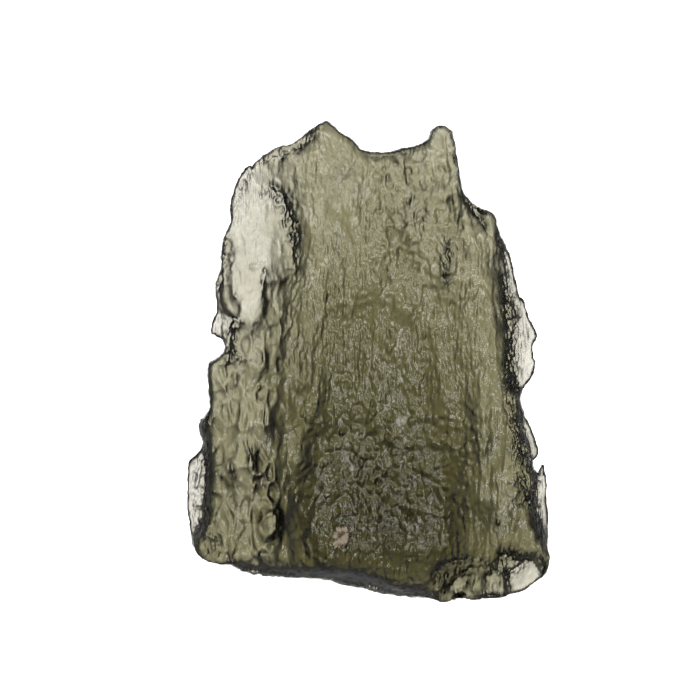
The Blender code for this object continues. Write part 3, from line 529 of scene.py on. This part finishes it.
def cells(x, y, seed, looseness=0.8, lean=None):
    """A paving of cells one unit across.

    Returns the distance to a border, a value of 0 to 1 for each cell, and the height of a plane
    through each cell's middle that is tilted its own way. With a lean, the cells of a value over
    LEANING are tilted by it instead, all the same way.
    """
    column, row = np.floor(x).astype(np.int64), np.floor(y).astype(np.int64)
    nearest = np.full(x.shape, np.inf)
    second = np.full(x.shape, np.inf)
    value = np.zeros(x.shape)
    tilt = np.zeros(x.shape)
    for step_across in (-1, 0, 1):
        for step_along in (-1, 0, 1):
            place = column + step_across, row + step_along
            dx = x - place[0] - 0.5 - looseness * (lattice(*place, seed) - 0.5)
            dy = y - place[1] - 0.5 - looseness * (lattice(*place, seed + 1) - 0.5)
            distance = np.hypot(dx, dy)
            closer = distance < nearest
            second = np.where(closer, nearest, np.minimum(second, distance))
            value = np.where(closer, lattice(*place, seed + 2), value)
            plane = 2 * (lattice(*place, seed + 3) - 0.5) * dx
            plane = plane + 2 * (lattice(*place, seed + 4) - 0.5) * dy
            if lean is not None:
                leaning = lattice(*place, seed + 2) > LEANING
                plane = np.where(leaning, lean[0] * dx + lean[1] * dy, plane)
            tilt = np.where(closer, plane, tilt)
            nearest = np.minimum(nearest, distance)
    return second - nearest, value, tilt


def paving_heights(paving, x, y, lean=None):
    """The heights of a paving of etched cells."""
    x, y = x / paving.wide, y / paving.long
    border, value, tilt = cells(x, y, paving.seed, paving.looseness, lean)
    heights = paving.tilt * tilt + paving.lift + paving.value * value
    return heights * smooth(0.0, paving.fade, border) - paving.groove * smooth(GROOVE_WIDTH, 0.0, border)


def box_mask(x, y, box):
    """1 inside a box in the plan and 0 outside it, with soft sides."""
    left, right, near, far, soft = box
    across = smooth(left - soft, left + soft, x) * smooth(-right - soft, -right + soft, -x)
    return across * smooth(near - soft, near + soft, y) * smooth(-far - soft, -far + soft, -y)


def lens_heights(x, y, lenses):
    heights = np.zeros(x.shape)
    for lens in lenses:
        reach = max(lens.half_width, lens.half_length) * 1.05
        near = np.flatnonzero((np.abs(x - lens.x) < reach) & (np.abs(y - lens.y) < reach))
        turn = math.radians(lens.turn)
        dx, dy = x[near] - lens.x, y[near] - lens.y
        across = (dx * math.cos(turn) - dy * math.sin(turn)) / lens.half_width
        along = (dx * math.sin(turn) + dy * math.cos(turn)) / lens.half_length
        heights[near] += lens.height * (1 - smooth(1 - lens.rim, 1.0, np.hypot(across, along)))
    return heights


def stroke_heights(x, y, strokes):
    heights = np.zeros(x.shape)
    for stroke in strokes:
        points = np.array(stroke.points)
        reach = 2.5 * stroke.half_width
        low, high = points.min(0) - reach, points.max(0) + reach
        near = np.flatnonzero((x > low[0]) & (x < high[0]) & (y > low[1]) & (y < high[1]))
        nearest = np.full(len(near), np.inf)
        for start, end in zip(points[:-1], points[1:]):
            run = end - start
            dx, dy = x[near] - start[0], y[near] - start[1]
            share = np.clip((dx * run[0] + dy * run[1]) / (run @ run), 0.0, 1.0)
            nearest = np.minimum(nearest, np.hypot(dx - share * run[0], dy - share * run[1]))
        heights[near] += stroke.height * np.exp(-((nearest / stroke.half_width) ** 2))
    return heights


def etched_heights(x, y):
    """The etched skin of the upper face: scales, pits and hair-fine flow lines."""
    bent_x = x + 0.18 * grain(x / 1.6, y / 2.2, 5) + 0.5 * grain(x / 7.0, y / 9.0, 9)
    bent_y = y + 0.18 * grain(x / 1.6, y / 1.6, 7)

    # The share of each region at a place
    left = smooth(-6.2, -8.6, x + 0.8 * grain(x / 3.0, y / 3.0, 11))
    ridge = box_mask(x, y, BRIGHT_RIDGE)
    far_right = smooth(-0.6, 1.4, x) * smooth(3.0, 7.0, y) * (1 - smooth(7.5, 9.5, x))
    near = smooth(-2.0, -5.0, y) * (1 - left) * (1 - ridge)
    middle = (1 - left) * (1 - ridge) * (1 - far_right) * (1 - near)
    far_left = smooth(8.0, 12.0, y) * smooth(1.0, -1.0, x) * (1 - left)
    horn = smooth(16.5, 19.5, y) * smooth(4.5, 6.0, x)

    scales = paving_heights(SCALES, bent_x, bent_y)
    pits = paving_heights(PITS, bent_x, bent_y, PIT_LEAN)
    slots = paving_heights(SLOTS, bent_x, bent_y)
    cobbles = paving_heights(COBBLES, bent_x, bent_y) * (1 + 0.5 * smooth(-4.0, -10.0, y))
    specks = 0.14 * grain(bent_x / 0.19, bent_y / 0.26, 45, 1)
    hairs = 0.07 * grain(bent_x / 0.28, bent_y / 2.4, 61, 2)
    waves = 0.10 * grain(bent_x / 1.3, bent_y / 2.4, 71, 3)
    streaks = 0.05 * grain(bent_x / 0.5, bent_y / 3.5, 151, 2)

    # How strong each pattern is in each region
    heights = far_right * (1.6 * scales + 0.6 * specks + 0.8 * hairs)
    heights += near * (1.5 * pits + 0.16 * specks + 0.35 * hairs)
    heights += middle * (0.9 * slots + 0.45 * specks + 1.1 * hairs)
    heights += left * (cobbles + 0.35 * specks + streaks)
    heights += ridge * (0.4 * hairs + 0.4 * slots + 0.35 * specks)
    patchiness = 1.0 + 0.6 * grain(x / 1.7, y / 6.0, 111, 2)
    heights = heights * patchiness * (1 - 0.4 * far_left - 0.6 * horn)
    return heights + waves * (1 - 0.5 * left - 0.6 * near)


def rough_skin(x, y, from_rim):
    """Grains and thin layers that follow the rim, for the places where the skin is rough."""
    grains = 0.26 * lumps(x / 0.15, y / 0.22, 121) + 0.14 * lumps(x / 0.33, y / 0.36, 123)
    layers = np.sin(2 * math.pi * (from_rim / 0.32 + 0.7 * grain(x / 0.9, y / 1.6, 127)))
    return grains + 0.12 * layers * smooth(-6.0, 2.0, x)


def roughness(x, y, steepness):
    """How rough the skin is, from 0 to 1: more on steep walls and in the rough places."""
    bent_x = x + 0.25 * grain(x / 0.6, y / 0.8, 131)
    bent_y = y + 0.25 * grain(x / 0.6, y / 0.8, 135)
    places = stroke_heights(bent_x, bent_y, ROUGH_PLACES)
    return np.clip(places + 0.7 * smooth(0.8, 1.7, steepness), 0.0, 1.0)


def solid_shape(node_name):
    """A node's mesh in millimetres with its corners joined."""
    shape = bmesh.new()
    shape.from_mesh(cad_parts[node_name].data)
    for vertex in shape.verts:
        vertex.co /= MM
    bmesh.ops.remove_doubles(shape, verts=shape.verts, dist=0.0001)
    shape.normal_update()
    return shape


def rim_places(shape):
    """Points along the silhouette that a solid shows from above."""
    places = []
    for edge in shape.edges:
        sides = [face.normal.z > 0.02 for face in edge.link_faces]
        if len(sides) == 2 and sides[0] != sides[1]:
            start, end = (vertex.co for vertex in edge.verts)
            steps = max(1, round((end - start).length / RIM_STEP_MM))
            places += [start.lerp(end, step / steps) for step in range(steps)]
    return places


def nearest_rim(places, x, y):
    """For each place of the plan: the nearest point of the silhouette and how far off it is."""
    tree = kdtree.KDTree(len(places))
    for i, place in enumerate(places):
        tree.insert((place.x, place.y, 0.0), i)
    tree.balance()
    found = [tree.find((across, along, 0.0)) for across, along in zip(x.tolist(), y.tolist())]
    nearest = np.array([places[i] for _, i, _ in found])
    return nearest, np.array([distance for _, _, distance in found])


def probe(tree, x, y, start_z):
    """The solid's height where a plumb line first meets it, and nan beside the solid."""
    way = Vector((0.0, 0.0, -math.copysign(1.0, start_z)))
    heights = np.full(x.shape, np.nan)
    for place in np.ndindex(x.shape):
        hit = tree.ray_cast((x[place], y[place], start_z), way)[0]
        if hit is not None:
            heights[place] = hit.z
    return heights


def even_out(heights, rounds):
    """Smooths a grid of heights that is nan beside the stone, where the result is 0."""
    known = np.isfinite(heights)

    def total_around(values):
        padded = np.pad(values, 1)
        return padded[:-2, 1:-1] + padded[2:, 1:-1] + padded[1:-1, :-2] + padded[1:-1, 2:]

    count = np.maximum(total_around(known.astype(float)), 1.0)
    values = np.where(known, heights, 0.0)
    for _ in range(rounds):
        values = np.where(known, 0.5 * values + 0.5 * total_around(values) / count, 0.0)
    return values


def filled_cells(known):
    """The grid cells that lie within the stone, without any that touch by a corner alone."""
    cell = known[:-1, :-1] & known[1:, :-1] & known[1:, 1:] & known[:-1, 1:]
    while True:
        a, b, c, d = cell[:-1, :-1], cell[1:, :-1], cell[:-1, 1:], cell[1:, 1:]
        falling, rising = a & d & ~b & ~c, b & c & ~a & ~d
        if not (falling.any() or rising.any()):
            return cell
        cell[:-1, :-1] &= ~falling
        cell[1:, :-1] &= ~rising


def cell_corners(cell, number):
    corners = (number[:-1, :-1], number[1:, :-1], number[1:, 1:], number[:-1, 1:])
    return np.stack([corner[cell] for corner in corners], axis=1)


def coarse_faces(cell, number):
    """The same cells as larger faces: full blocks become one face, and the others stay as they are."""
    wide, long = BLOCK
    columns, rows = cell.shape[0] // wide, cell.shape[1] // long
    trimmed = cell[:columns * wide, :rows * long].reshape(columns, wide, rows, long)
    whole = np.pad(trimmed.all(axis=(1, 3)), 1)
    loose = cell.copy()
    faces = []
    for column, row in np.argwhere(whole[1:-1, 1:-1]):
        left, near = column * wide, row * long
        right, far = left + wide, near + long
        loose[left:right, near:far] = False
        sides = (number[left:right, near], number[right, near:far],
                 number[right:left:-1, far], number[left, far:near:-1])
        # A side that two full blocks share needs no points between its ends
        shared = (whole[column + 1, row], whole[column + 2, row + 1],
                  whole[column + 1, row + 2], whole[column, row + 1])
        ring = [side[:1] if plain else side for side, plain in zip(sides, shared)]
        faces.append(np.concatenate(ring)[::-1].tolist())
    return faces + cell_corners(loose, number)[:, ::-1].tolist()


def pinched_edges(quads, rim):
    """The edges within the sheet whose two ends both lie on its rim."""
    pairs = np.concatenate([quads[:, (side, (side + 1) % 4)] for side in range(4)])
    pairs, uses = np.unique(np.sort(pairs, axis=1), axis=0, return_counts=True)
    return pairs[(uses == 2) & rim[pairs].all(axis=1)]


def with_middles(faces, edges, first_middle):
    """The faces with a point of its own in the middle of each of these edges."""
    middles = {tuple(edge): first_middle + i for i, edge in enumerate(edges.tolist())}
    for face in faces:
        for place in range(len(face) - 1, -1, -1):
            ends = min(face[place - 1], face[place]), max(face[place - 1], face[place])
            if ends in middles:
                face.insert(place, middles[ends])
    return faces


def fanned(faces, rim_end):
    """The faces, with each that has a single point off the rim cut into triangles around it.

    The rim's points are numbered below rim_end. Without this, a face's diagonal could lie on
    that of the face above it.
    """
    result = []
    for face in faces:
        inner = [place for place, point in enumerate(face) if point >= rim_end]
        if len(inner) == 1:
            ring = face[inner[0] + 1:] + face[:inner[0]]
            result += [[face[inner[0]], start, end] for start, end in zip(ring[:-1], ring[1:])]
        else:
            result.append(face)
    return result


def upper_heights(x, y, height, thickness, from_rim, rough):
    """The upper face with all its fine relief."""
    wobble_x = x + 0.10 * grain(x / 0.5, y / 0.7, 3, 2)
    wobble_y = y + 0.10 * grain(x / 0.5, y / 0.7, 4, 2)
    placed = lens_heights(wobble_x, wobble_y, LENSES) + stroke_heights(wobble_x, wobble_y, STROKES)
    etched = etched_heights(x, y) * (0.35 + 0.65 * smooth(0.6, 1.8, thickness))
    etched += (1 - smooth(0.6, 0.9, thickness)) * 0.16 * grain(x / 0.22, y / 1.3, 161, 2)
    rough = np.maximum(rough, smooth(0.32, 0.6, -placed)) * smooth(0.05, 0.4, thickness + placed)
    relief = placed + etched * (1 - 0.5 * rough) + rough * rough_skin(x, y, from_rim)
    relief *= smooth(0.05, 0.5, from_rim)
    chamfer_width = CHAMFER_MM + CHAMFER_VARIATION_MM * grain(x / 0.8, y / 0.8, 83)
    chamfer = np.clip(from_rim / chamfer_width, 0.0, 1.0)
    deepest = DEEPEST_SHARE * thickness
    return height - deepest * (1 - chamfer) + np.clip(relief, -deepest, HIGHEST_RELIEF_MM)


def under_heights(x, y, height, thickness, rough):
    """The underside with soft hollows and dishes in it, but flat where the stone rests."""
    border, value, _ = cells(x / 0.9 + 0.3 * grain(x, y, 91), y / 1.3, 93, 0.9)
    dishes = (0.02 + 0.06 * value) * smooth(0.0, 0.5, border)
    bent_x = x + 3.0 * grain(x / 2.5, y / 2.5, 97)
    bent_y = y + 3.0 * grain(x / 2.5, y / 2.5, 99)
    thick = box_mask(bent_x, bent_y, THICK_MIDDLE) * smooth(0.8, 2.0, thickness)
    hollows = UNDER_HOLLOW_MM * thick * (1 + lumps(x / 0.6, y / 0.75, 95))
    folds = rough * smooth(0.7, 1.4, thickness) * (0.4 + 0.4 * lumps(x / 0.36, y / 0.42, 141))
    return height + hollows + (dishes + folds) * smooth(0.02, 0.3, height + folds)


def chip_rim(x, y, from_rim):
    """Makes the outline a little ragged, without leaving the solid's box."""
    reach = smooth(0.6, 0.0, from_rim)
    x = x + reach * (0.10 * grain(x / 0.5, y / 0.5, 101) + 0.05 * grain(x / 0.2, y / 0.2, 103, 1))
    y = y + reach * (0.10 * grain(x / 0.5, y / 0.5, 105) + 0.05 * grain(x / 0.2, y / 0.2, 107, 1))
    low, high = np.array(cad_box) / MM
    return np.clip(x, low[0], high[0]), np.clip(y, low[1], high[1])


def probed_grid(shape):
    """A grid over the solid's plan: its x and y, and the heights of the upper and under face."""
    low, high = np.array(cad_box) / MM
    across = np.arange(low[0], high[0] + CELL_ACROSS_MM, CELL_ACROSS_MM)
    along = np.arange(low[1], high[1] + CELL_ALONG_MM, CELL_ALONG_MM)
    x, y = np.meshgrid(across, along, indexing="ij")
    tree = BVHTree.FromBMesh(shape)
    return x, y, probe(tree, x, y, PROBE_START_MM), probe(tree, x, y, -PROBE_START_MM)


def evened_upper(x, y, upper):
    """The upper face with its facets evened out, and more so where the real glass is smooth."""
    glass, left = even_out(upper, GLASS_SMOOTHING), even_out(upper, LEFT_SMOOTHING)
    upper = even_out(upper, UPPER_SMOOTHING)
    for box, share in SMOOTH_GLASS:
        upper += (glass - upper) * box_mask(x, y, box) * share
    return upper + (left - upper) * box_mask(x, y, LEFT_STRIP)


def cleaned_mesh(name, points, faces):
    """A mesh of these points in millimetres and faces, without points that no face uses."""
    mesh = bpy.data.meshes.new(name)
    mesh.from_pydata(points * MM, [], faces)
    mesh.validate()
    shape = bmesh.new()
    shape.from_mesh(mesh)
    bmesh.ops.delete(shape, geom=[v for v in shape.verts if not v.link_faces], context="VERTS")
    shape.to_mesh(mesh)
    shape.free()
    return mesh


def stone_mesh():
    """The stone as one closed mesh: a fine upper sheet and a coarser lower one that share a rim."""
    shape = solid_shape("moldavite")
    x, y, upper, under = probed_grid(shape)
    places = rim_places(shape)
    shape.free()
    cell = filled_cells(np.isfinite(upper) & np.isfinite(under))
    upper, under = evened_upper(x, y, upper), even_out(under, UNDER_SMOOTHING)
    steepness = np.hypot(*np.gradient(upper, CELL_ACROSS_MM, CELL_ALONG_MM))

    number = np.arange(x.size).reshape(x.shape)
    quads = cell_corners(cell, number)
    touching = np.bincount(quads.ravel(), minlength=x.size)
    used = np.flatnonzero(touching)
    rim = touching[used] < 4
    x, y, upper, under, steepness = (grid.ravel()[used] for grid in (x, y, upper, under, steepness))
    nearest, from_rim = nearest_rim(places, x, y)
    x[rim], y[rim], from_rim[rim] = nearest[rim, 0], nearest[rim, 1], 0.0

    rough = roughness(x, y, steepness)
    top = upper_heights(x, y, upper, upper - under, from_rim, rough)
    bottom = np.minimum(under_heights(x, y, under, upper - under, rough), top - THINNEST_MM)
    top[rim] = 0.5 * (top[rim] + bottom[rim])
    x, y = chip_rim(x, y, from_rim)
    heights = np.clip(np.concatenate((top, bottom[~rim])), 0.0, cad_box[1][2] / MM)

    # The upper sheet's points come first, then the under sheet's own, then middles of edges
    upper_number = np.zeros(number.size, np.int64)
    under_number = np.zeros(number.size, np.int64)
    upper_number[used] = np.arange(len(used))
    under_number[used[rim]] = np.flatnonzero(rim)
    under_number[used[~rim]] = len(used) + np.arange(np.count_nonzero(~rim))
    upper_faces = upper_number[quads]
    pinched = pinched_edges(upper_faces, rim)
    under_faces = coarse_faces(cell, under_number.reshape(number.shape))
    under_faces = fanned(with_middles(under_faces, pinched, len(heights)), len(used))

    plan = np.stack((x, y), axis=1)
    plan = np.concatenate((plan, plan[~rim], plan[pinched].mean(axis=1)))
    heights = np.append(heights, np.maximum(heights[pinched].mean(axis=1) - THINNEST_MM, 0.0))
    points = np.column_stack((plan, heights))
    return cleaned_mesh("moldavite_surface", points, upper_faces.tolist() + under_faces)


def add_object(name, data):
    """A new object in the scene with this data."""
    thing = bpy.data.objects.new(name, data)
    bpy.context.scene.collection.objects.link(thing)
    return thing


def node_material(name):
    """A new node material, with its nodes, its links and its shader node."""
    material = bpy.data.materials.new(name)
    material.use_nodes = True
    tree = material.node_tree
    return material, tree.nodes, tree.links, tree.nodes["Principled BSDF"]


def noise_node(nodes, scale, detail):
    texture = nodes.new("ShaderNodeTexNoise")
    texture.inputs["Scale"].default_value = scale
    texture.inputs["Detail"].default_value = detail
    return texture


def build_stone():
    mesh = stone_mesh()
    stone = add_object("moldavite_surface", mesh)
    mesh.materials.append(glass_material())
    mesh.shade_smooth()
    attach(stone, "root")
    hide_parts("moldavite")
    return stone


def glass_material():
    material, nodes, links, shader = node_material("moldavite_glass")
    shader.inputs["Base Color"].default_value = SURFACE_TINT
    shader.inputs["Roughness"].default_value = ROUGHNESS
    shader.inputs["IOR"].default_value = REFRACTION
    shader.inputs["Transmission Weight"].default_value = 1.0

    place = nodes.new("ShaderNodeTexCoord")
    stretch = nodes.new("ShaderNodeMapping")
    stretch.inputs["Scale"].default_value = [bumps / MM for bumps in BUMPS_PER_MM]
    grains = noise_node(nodes, 1.0, 2.0)
    patches = noise_node(nodes, PATCHES_PER_MM / MM, 2.0)
    strength = nodes.new("ShaderNodeMapRange")
    strength.inputs["From Min"].default_value = PATCH_RANGE[0]
    strength.inputs["From Max"].default_value = PATCH_RANGE[1]
    strength.inputs["To Min"].default_value = PATCH_STRENGTHS[0]
    strength.inputs["To Max"].default_value = PATCH_STRENGTHS[1]
    bump = nodes.new("ShaderNodeBump")
    bump.inputs["Distance"].default_value = BUMP_MM * MM
    links.new(place.outputs["Object"], stretch.inputs["Vector"])
    links.new(place.outputs["Object"], patches.inputs["Vector"])
    links.new(stretch.outputs["Vector"], grains.inputs["Vector"])
    links.new(patches.outputs["Fac"], strength.inputs["Value"])
    links.new(strength.outputs["Result"], bump.inputs["Strength"])
    links.new(grains.outputs["Fac"], bump.inputs["Height"])
    links.new(bump.outputs["Normal"], shader.inputs["Normal"])

    volume = nodes.new("ShaderNodeVolumeAbsorption")
    volume.inputs["Color"].default_value = ABSORPTION_COLOUR
    volume.inputs["Density"].default_value = ABSORPTION_DENSITY
    links.new(volume.outputs["Volume"], nodes["Material Output"].inputs["Volume"])
    return material


def build_floor():
    mesh = bpy.data.meshes.new("floor")
    shape = bmesh.new()
    bmesh.ops.create_grid(shape, x_segments=1, y_segments=1, size=1.0)
    shape.to_mesh(mesh)
    shape.free()
    floor = add_object("floor", mesh)
    floor.location.z = -FLOOR_GAP_MM * MM
    material, _, _, shader = node_material("floor")
    shader.inputs["Base Color"].default_value = FLOOR_COLOUR
    shader.inputs["Roughness"].default_value = DULL_ROUGHNESS
    shader.inputs["Specular IOR Level"].default_value = FLOOR_SPECULAR
    mesh.materials.append(material)


def spread_share(spread_degrees):
    """The light that a lamp of this spread gives off, as a share of a plain one's as bright."""
    if spread_degrees >= 180.0:
        return 1.0
    half = math.radians(spread_degrees) / 2
    return math.sin(half) ** 2 - (half - math.sin(half) * math.cos(half)) / math.tan(half)


def area_light(name, size_mm, radiance, place_mm, target_mm, spread_degrees=180.0, colour=(1, 1, 1)):
    """A flat lamp of a given size and brightness, aimed at a target."""
    lamp = bpy.data.lights.new(name, "AREA")
    lamp.shape = "RECTANGLE"
    lamp.size, lamp.size_y = (side * MM for side in size_mm)
    lamp.spread = math.radians(spread_degrees)
    lamp.color = colour
    lamp.energy = radiance * math.pi * lamp.size * lamp.size_y * spread_share(spread_degrees)
    holder = add_object(name, lamp)
    holder.location = Vector(place_mm) * MM
    holder.rotation_mode = "QUATERNION"
    holder.rotation_quaternion = (Vector(target_mm) - Vector(place_mm)).to_track_quat("-Z", "Y")
    return holder


def build_lights():
    world = bpy.data.worlds.new("studio")
    bpy.context.scene.world = world
    world.use_nodes = True
    background = world.node_tree.nodes["Background"]
    background.inputs["Color"].default_value = WORLD_COLOUR
    background.inputs["Strength"].default_value = WORLD_STRENGTH
    panel = area_light("light_panel", (PANEL_SIZE_MM, PANEL_SIZE_MM), PANEL_RADIANCE,
                       (0, 0, -PANEL_DEPTH_MM), (0, 0, 10), PANEL_SPREAD_DEGREES, PANEL_COLOUR)
    panel.visible_camera = True
    for name, size, radiance, place in SOFTBOXES:
        area_light(name, size, radiance, place, (0, 0, 0))


def build_camera():
    middle_x = (PICTURE_PIXELS / 2 - MIDDLE_PIXEL[0]) / PIXELS_PER_MM
    middle_y = (MIDDLE_PIXEL[1] - PICTURE_PIXELS / 2) / PIXELS_PER_MM
    distance = PICTURE_PIXELS / PIXELS_PER_MM * LENS_MM / SENSOR_MM
    lens = bpy.data.cameras.new("camera")
    lens.lens = LENS_MM
    lens.sensor_width = SENSOR_MM
    lens.clip_start = 0.01
    camera = add_object("camera", lens)
    camera.location = Vector((middle_x, middle_y, VIEW_HEIGHT_MM + distance)) * MM
    bpy.context.scene.camera = camera


def mesh_points(mesh):
    points = np.empty(len(mesh.vertices) * 3)
    mesh.vertices.foreach_get("co", points)
    return points.reshape(-1, 3)


def build_crumb(stone):
    """The crumb of tan soil that is stuck in a dish near the near edge."""
    shape = bmesh.new()
    bmesh.ops.create_icosphere(shape, subdivisions=5, radius=1.0)
    x, y = CRUMB_PLACE
    points = mesh_points(stone.data) / MM
    near = np.hypot(points[:, 0] - x, points[:, 1] - y) < CRUMB_SEAT_MM
    height = np.percentile(points[near, 2], 90)
    for vertex in shape.verts:
        side = vertex.co.copy()
        swell = 1.0 + 0.55 * noise.fractal(side * 1.3, 0.6, 2.0, 4) + 0.12 * noise.noise(side * 7.0)
        vertex.co = Vector(side[i] * swell * CRUMB_HALF_SIZE[i] for i in range(3))
        vertex.co += Vector((x + CRUMB_SLANT * side.y, y, height - CRUMB_SINK_MM))
        vertex.co *= MM
    mesh = bpy.data.meshes.new("soil_crumb")
    shape.to_mesh(mesh)
    shape.free()
    crumb = add_object("soil_crumb", mesh)
    mesh.materials.append(soil_material())
    mesh.shade_smooth()
    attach(crumb, "root")


def soil_material():
    material, nodes, links, shader = node_material("sediment")
    shader.inputs["Roughness"].default_value = DULL_ROUGHNESS
    place = nodes.new("ShaderNodeTexCoord")
    grains = noise_node(nodes, SOIL_GRAINS_PER_MM / MM, 4.0)
    tones = nodes.new("ShaderNodeValToRGB")
    for stop, (position, colour) in zip(tones.color_ramp.elements, SOIL_TONES):
        stop.position, stop.color = position, colour
    links.new(place.outputs["Object"], grains.inputs["Vector"])
    links.new(grains.outputs["Fac"], tones.inputs["Fac"])
    links.new(tones.outputs["Color"], shader.inputs["Base Color"])
    return material


build_crumb(build_stone())
build_floor()
build_lights()
build_camera()
bpy.context.scene.view_settings.view_transform = "Standard"
